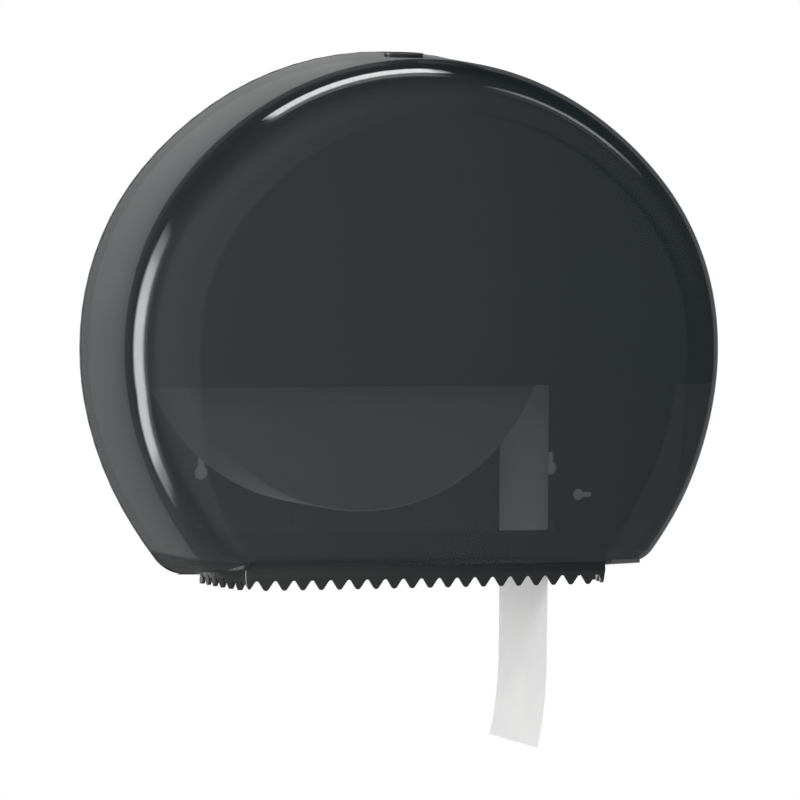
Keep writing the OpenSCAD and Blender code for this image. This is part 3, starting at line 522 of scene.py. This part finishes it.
def moulded(name, base, roughness, grain=0.00004, specular=0.5):
    """Moulded plastic: fine grain, slightly uneven gloss, soft edges and slightly lighter worn patches."""
    edge, worn = 0.0004, 0.06
    mat = material(name, base, roughness)
    n = Nodes(mat)
    n.shader.inputs["Specular IOR Level"].default_value = specular
    cloud = n.noise(14, 4)
    fine = n.noise(1400, 2)
    lighter = tuple(c + worn * (c + 0.01) for c in base)
    n.to("Base Color", n.colour_mix(n.ramp(cloud, 0.35, 0.7, 0, 1), base, lighter))
    n.to("Roughness", n.ramp(n.noise(55, 5), 0.3, 0.7, roughness * 0.88, roughness * 1.14))
    n.to("Normal", n.bump(fine, grain, 0.35, n.soft_edges(edge)))
    return mat


def smoked(name):
    """Glossy smoked plastic: the tint of the moulding with a faint flow in it and a near-mirror skin."""
    mat = material(name, (0.004, 0.010, 0.013), 0.035, ior=1.62, alpha=0.635)
    n = Nodes(mat)
    flow = n.noise(5, 2)
    darker, lighter = (0.0038, 0.0095, 0.0125), (0.0048, 0.0115, 0.0148)
    n.to("Base Color", n.colour_mix(n.ramp(flow, 0.3, 0.7, 0, 1), darker, lighter))
    place = n.node("ShaderNodeSeparateXYZ", {"Vector": n.coords}).outputs
    # The skin is nearly a mirror, and matt at the cut lip
    polish = n.ramp(n.noise(38, 4), 0.3, 0.7, 0.03, 0.05)
    lip_z = (-0.133, -0.1365)
    lip = n.ramp(place["Z"], *lip_z, 0, 0.42)
    n.to("Roughness", n.calc("ADD", polish, lip))
    # The side walls' skin is a little duller towards the crease than at the rear edge
    normal = n.node("ShaderNodeTexCoord").outputs["Normal"]
    facing = n.node("ShaderNodeSeparateXYZ", {"Vector": normal}).outputs["Y"]
    side = n.ramp(n.calc("ABSOLUTE", facing), 0.12, 0.17, 1, 0)
    wall_y = (-0.03, -0.088)
    duller = n.ramp(place["Y"], *wall_y, 0, 1)
    duller = n.calc("MULTIPLY", n.calc("MULTIPLY", duller, duller), side)
    n.to("Specular IOR Level", n.ramp(duller, 0, 1, 0.5, 0.15))
    return mat


def metal(name, base, roughness, brushed):
    """Plated or brushed metal with fine directional scratches."""
    mat = material(name, base, roughness, metallic=1.0)
    n = Nodes(mat)
    streak = n.noise(700, 3, vector=n.stretched(brushed))
    darker, lighter = tuple(c * 0.86 for c in base), tuple(min(1, c * 1.08) for c in base)
    n.to("Base Color", n.colour_mix(n.noise(90, 3), darker, lighter))
    n.to("Roughness", n.ramp(streak, 0.3, 0.7, roughness * 0.75, roughness * 1.3))
    n.to("Normal", n.bump(streak, 0.00003, 0.3, n.soft_edges(0.00025)))
    return mat


def board(name):
    """Wound grey-brown board with short fibres."""
    mat = material(name, (0.5, 0.38, 0.25), 0.85)
    n = Nodes(mat)
    fibres = n.noise(420, 4, vector=n.stretched((1, 0.25, 1)))
    n.to("Base Color", n.colour_mix(n.ramp(fibres, 0.3, 0.7, 0, 1), (0.4, 0.29, 0.18), (0.58, 0.46, 0.32)))
    n.to("Normal", n.bump(fibres, 0.0002, 0.6))
    return mat


def tissue(name, layered):
    """Soft tissue: fibres and small embossed cushions, and on a roll's ends the wound layers' edges."""
    mat = material(name, (0.9, 0.89, 0.885), 0.95, ior=1.35)
    n = Nodes(mat)
    n.shader.inputs["Sheen Weight"].default_value = 0.15
    fibres = n.noise(900, 4)
    cloud = n.noise(30, 3)
    n.to("Base Color", n.colour_mix(n.ramp(cloud, 0.3, 0.7, 0, 1), (0.87, 0.865, 0.865), (0.92, 0.91, 0.905)))
    cushions = n.node("ShaderNodeTexVoronoi", {"Vector": n.coords, "Scale": 380, "Randomness": 0.25},
                      feature="SMOOTH_F1").outputs["Distance"]
    normal = n.bump(cushions, 0.00025, 0.5)
    if layered:
        moved = n.node("ShaderNodeMapping", {"Vector": n.coords,
                                             "Location": (-ROLL_X * MM, 0, -ROLL_Z * MM)}).outputs[0]
        rings = n.node("ShaderNodeTexWave", {"Vector": moved, "Scale": 420, "Distortion": 1.5, "Detail": 2,
                                             "Detail Scale": 0.6}, wave_type="RINGS",
                       rings_direction="Y").outputs["Fac"]
        normal = n.bump(rings, 0.0003, 0.45, normal)
    n.to("Normal", n.bump(fibres, 0.00015, 0.5, normal))
    return mat


def dress(mat, *nodes):
    """Gives CAD nodes a material in place of their plain one."""
    for name in nodes:
        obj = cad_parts[name]
        obj.data.materials.clear()
        obj.data.materials.append(mat)


# ---------------------------------------------------------------- light, floor and camera
def area_light(name, place, target, width, height, power):
    data = bpy.data.lights.new(name, "AREA")
    data.shape, data.size, data.size_y, data.energy = "RECTANGLE", width, height, power
    obj = new_object(name, data)
    obj.location = place
    obj.rotation_euler = (Vector(target) - Vector(place)).to_track_quat("-Z", "Y").to_euler()
    # The studio of make_world stands in for the lamps in reflections
    obj.visible_camera = obj.visible_glossy = False


# The studio's level by direction as (position, level) stops, over degrees or over the direction's x
AROUND = [(-180, 0.16), (-150, 0.26), (-134, 0.32), (-116, 0.5), (-98, 0.74), (-82, 1.12), (-60, 1.16),
          (-30, 1.12), (11, 1.05), (15, 0.9), (19, 0.67), (22.5, 0.43), (25, 0.34), (28, 0.3), (34, 0.33),
          (60, 0.34), (72, 0.3), (92, 0.22), (106, 0.14), (130, 0.07), (150, 0.05), (159, 0.1), (170, 0.15),
          (180, 0.16)]
UPWARD = [(-90, 1.0), (28, 1.0), (43, 0.86), (60, 0.72), (75, 0.5), (90, 0.4)]
ACROSS = [(-1, 1.18), (-0.6, 1.12), (-0.35, 1.06), (-0.2, 1.0), (0, 0.9), (0.1, 0.85), (0.2, 0.77),
          (0.3, 0.69), (0.4, 0.6), (0.55, 0.53), (0.7, 0.46), (0.85, 0.4), (1, 0.34)]
OVERHEAD = [(-180, 0.2), (0, 0.9), (54, 0.81), (72, 0.71), (80, 0.58), (88, 0.51), (93, 0.39), (104, 0.34),
            (118, 0.26), (130, 0.2), (180, 0.13)]
UNDER = [(-180, 0.33), (-165, 0.3), (-150, 0.36), (-135, 0.43), (-118, 0.47), (-104, 0.56), (-90, 0.82),
         (-70, 0.96), (-40, 0.98), (-10, 0.9), (12, 0.84), (18, 0.7), (28, 0.54), (60, 0.48), (100, 0.32),
         (125, 0.2), (150, 0.14), (180, 0.33)]
REAR_X = [(-1, 1.0), (-0.2, 1.0), (0, 1.1), (0.24, 1.15), (0.3, 0.85), (0.34, 0.2), (1, 0.05)]
LEFT_REACH = [(-90, 0), (-29, 0), (-25, 0.25), (-20, 0.85), (-13, 1), (8, 1), (17, 0.8), (26, 0.32), (33, 0),
              (90, 0)]
LEFT_STRIP, TOP_STRIP, RIGHT_STRIP = 8.8, 9.6, 3.4
SHADED_WALL, AMBIENT = 0.35, 0.88


def make_world():
    """A studio for reflections, a white backdrop for the camera and an even level for all other rays."""
    world = bpy.data.worlds.new("studio")
    scene.world = world
    world.use_nodes = True
    tree = world.node_tree
    tree.nodes.clear()
    new, link = tree.nodes.new, tree.links.new
    out = new("ShaderNodeOutputWorld")
    path = new("ShaderNodeLightPath")

    def socket_math(op, a, b=0.0, clamp=False):
        node = new("ShaderNodeMath")
        node.operation, node.use_clamp = op, clamp
        for i, v in enumerate((a, b)):
            if isinstance(v, bpy.types.NodeSocket):
                link(v, node.inputs[i])
            else:
                node.inputs[i].default_value = v
        return node.outputs[0]

    xyz = new("ShaderNodeSeparateXYZ")
    link(new("ShaderNodeTexCoord").outputs["Generated"], xyz.inputs[0])
    x, y, z = xyz.outputs

    def product(a, b):
        return socket_math("MULTIPLY", a, b)

    degrees = 180 / math.pi
    front = product(y, -1.0)
    azimuth = product(socket_math("ARCTAN2", x, front), degrees)
    height = product(socket_math("ARCSINE", z), degrees)

    def curve(value, stops):
        """A smooth grey curve through (position, level) stops."""
        low, high = stops[0][0], stops[-1][0]
        ramp = new("ShaderNodeValToRGB")
        ramp.color_ramp.interpolation = "EASE"
        link(socket_math("DIVIDE", socket_math("SUBTRACT", value, low), high - low), ramp.inputs[0])
        elements = ramp.color_ramp.elements
        while len(elements) > 1:
            elements.remove(elements[-1])
        elements[0].position = 0
        for i, (where, level) in enumerate(stops):
            stop = elements[0] if i == 0 else elements.new((where - low) / (high - low))
            stop.color = (level, level, level, 1)
        return ramp.outputs[0]

    def rising(a, b, span):
        """0 where a is below b, 1 where it is at least span above."""
        return socket_math("DIVIDE", socket_math("SUBTRACT", a, b), span, clamp=True)

    def window(value, centre, half, soft):
        """1 inside centre +- half, falling to 0 over soft."""
        off = socket_math("ABSOLUTE", socket_math("SUBTRACT", value, centre))
        return rising(half + soft / 2, off, soft)

    def ellipse(a, b, a0, b0, half_a, half_b, soft):
        """1 inside an ellipse of two components of the direction, falling to 0 over soft of its size."""
        da = socket_math("DIVIDE", socket_math("SUBTRACT", a, a0), half_a)
        db = socket_math("DIVIDE", socket_math("SUBTRACT", b, b0), half_b)
        far = socket_math("SQRT", socket_math("ADD", product(da, da), product(db, db)))
        return rising(1 + soft / 2, far, soft)

    def blended(a, b, share):
        return socket_math("ADD", a, product(share, socket_math("SUBTRACT", b, a)))

    # Level by direction: round the horizon, then across the picture above it, then over the top
    raised = rising(height, 6.0, 12.0)
    ahead = rising(front, 0.1, 0.3)
    level = blended(product(curve(azimuth, AROUND), curve(height, UPWARD)), curve(x, ACROSS),
                    product(raised, ahead))
    over = product(socket_math("ARCTAN2", z, front), degrees)
    overhead = product(curve(over, OVERHEAD), socket_math("SUBTRACT", 1.0, product(x, 0.6)))
    level = blended(level, overhead, rising(height, 41.0, 20.0))
    # Level below the horizon, and straight down
    low = rising(-9.0, height, 14.0)
    deep = rising(-34.0, height, 22.0)
    level = blended(level, blended(curve(azimuth, UNDER), 0.6, product(deep, 0.8)), low)
    # The pale backdrop behind the part, seen in the side walls
    rear_level = blended(0.9, curve(x, REAR_X), socket_math("DIVIDE", z, 0.15, clamp=True))
    rear = product(ellipse(x, z, -0.055, 0.015, 0.4, 0.405, 0.12), socket_math("GREATER_THAN", y, 0.0))
    level = blended(level, rear_level, rear)
    # Three strip lights: left, overhead and a small one at the right
    slant = product(socket_math("MAXIMUM", socket_math("SUBTRACT", -11.0, height), 0.0), 1.15)
    left = product(window(socket_math("ADD", azimuth, slant), -120, 8.7, 5), curve(height, LEFT_REACH))
    rise = socket_math("MAXIMUM", z, 0.05)
    top = product(window(socket_math("DIVIDE", x, rise), 0.055, 0.345, 0.05),
                  window(socket_math("DIVIDE", y, rise), 0.59, 0.12, 0.06))
    right = product(window(azimuth, 92, 4.5, 4), window(height, 47, 13, 8))
    for strip, strength in ((left, LEFT_STRIP), (top, TOP_STRIP), (right, RIGHT_STRIP)):
        level = socket_math("ADD", level, product(strip, strength))

    studio, backdrop, ambient = (new("ShaderNodeBackground") for _ in range(3))
    for node in (studio, backdrop, ambient):
        node.inputs["Color"].default_value = (1, 1, 1, 1)
    link(level, studio.inputs["Strength"])
    ambient.inputs["Strength"].default_value = AMBIENT
    # The wall that shows through the clear plastic lies in the part's own shade
    behind = socket_math("GREATER_THAN", path.outputs["Transparent Depth"], 0.5)
    link(blended(1.0, SHADED_WALL, behind), backdrop.inputs["Strength"])

    def mixed(share, first, second):
        node = new("ShaderNodeMixShader")
        for i, source in enumerate((share, first, second)):
            link(source, node.inputs[i])
        return node.outputs[0]

    seen = socket_math("ADD", path.outputs["Is Camera Ray"], path.outputs["Is Transmission Ray"], clamp=True)
    mirrored = mixed(path.outputs["Is Glossy Ray"], ambient.outputs[0], studio.outputs[0])
    link(mixed(seen, mirrored, backdrop.outputs[0]), out.inputs["Surface"])


def make_floor():
    half, level = 3.0, -0.9
    mesh = bpy.data.meshes.new("floor")
    corners = [(-half, -half, level), (half, -half, level), (half, half, level), (-half, half, level)]
    mesh.from_pydata(corners, [], [(0, 1, 2, 3)])
    floor = new_object("floor", mesh)
    mat = material("floor_paint", (0.88, 0.88, 0.88), 0.9)
    n = Nodes(mat)
    n.to("Base Color", n.colour_mix(n.noise(3, 3), (0.87, 0.87, 0.87), (0.9, 0.9, 0.9)))
    mesh.materials.append(mat)
    floor.visible_glossy = False


def make_camera():
    azimuth, pitch, roll = (math.radians(a) for a in (18.77, 2.10, -0.21))
    distance, focal_px, picture_px, sensor = 3.33873, 4916.2, 800, 36
    aim = Vector((-0.01113, -0.066, -0.03134))
    forward = Vector((math.sin(azimuth) * math.cos(pitch), math.cos(azimuth) * math.cos(pitch),
                      -math.sin(pitch)))
    data = bpy.data.cameras.new("camera")
    data.sensor_width, data.lens = sensor, focal_px / picture_px * sensor
    data.clip_start, data.clip_end = 0.1, 100
    camera = new_object("camera", data)
    camera.location = aim - forward * distance
    right = forward.cross(Vector((0, 0, 1))).normalized()
    up = right.cross(forward)
    basis = Matrix((right, up, -forward)).transposed()
    camera.rotation_euler = (basis @ Matrix.Rotation(-roll, 3, "Z")).to_euler()
    scene.camera = camera


# ---------------------------------------------------------------- putting it together
make_camera()

smoked_plastic = smoked("smoked_plastic")
plate_plastic = moulded("plate_plastic", (0.031, 0.035, 0.0375), 0.42, grain=0.00008)
bar_plastic = moulded("bar_plastic", (0.0105, 0.012, 0.0128), 0.13, grain=0.00007, specular=0.36)
hub_plastic = moulded("hub_plastic", (0.075, 0.08, 0.085), 0.4)
acetal = moulded("axle_acetal", (0.45, 0.46, 0.46), 0.35)
lock_plastic = moulded("lock_plastic", (0.016, 0.017, 0.018), 0.32)
mask_black = moulded("mask_black", (0.006, 0.007, 0.008), 0.7)
plated = metal("plated_steel", (0.6, 0.61, 0.6), 0.3, (1, 6, 1))
lock_metal = metal("lock_metal", (0.36, 0.365, 0.37), 0.34, (8, 1, 1))
core_board = board("core_board")
wound = tissue("wound_tissue", True)
hanging = tissue("hanging_tissue", False)

dress(plate_plastic, "back_plate")
dress(bar_plastic, "tear_bar")
dress(hub_plastic, "spindle_hub", "stub_post", "axle_end_cap")
dress(acetal, "hub_axle", "brake_washer")
dress(plated, "hinge_pins", "tear_bar_screws", "axle_screws", "brake_spring", "axle_end_screw",
      "stub_post_screws", "lock_keeper", "keeper_screws", "lock_nut", "lock_cam", "cam_screw")
dress(lock_metal, "lock_barrel")
dress(lock_plastic, "lock_body")
dress(core_board, "roll_core")

cover = make_cover()
cover.data.materials.append(smoked_plastic)
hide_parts("cover_shell")
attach(cover, "cover")

mask = make_mask()
mask.data.materials.append(mask_black)
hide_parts("cover_liner")
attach(mask, "cover")

roll = make_roll()
roll.data.materials.append(wound)
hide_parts("paper_roll")
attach(roll, "roll")

tail, tail_length = make_tail()
tail.data.materials.append(hanging)
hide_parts("paper_tail")
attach(tail, "chassis")
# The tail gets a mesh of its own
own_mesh(tail)

make_world()
make_floor()
area_light("key", (-1.6, -2.6, 1.9), (0, -0.06, 0), 1.6, 1.2, 25)
area_light("fill", (2.0, -2.4, 0.6), (0, -0.06, 0), 1.6, 1.6, 9)

scene.view_settings.view_transform = "Standard"
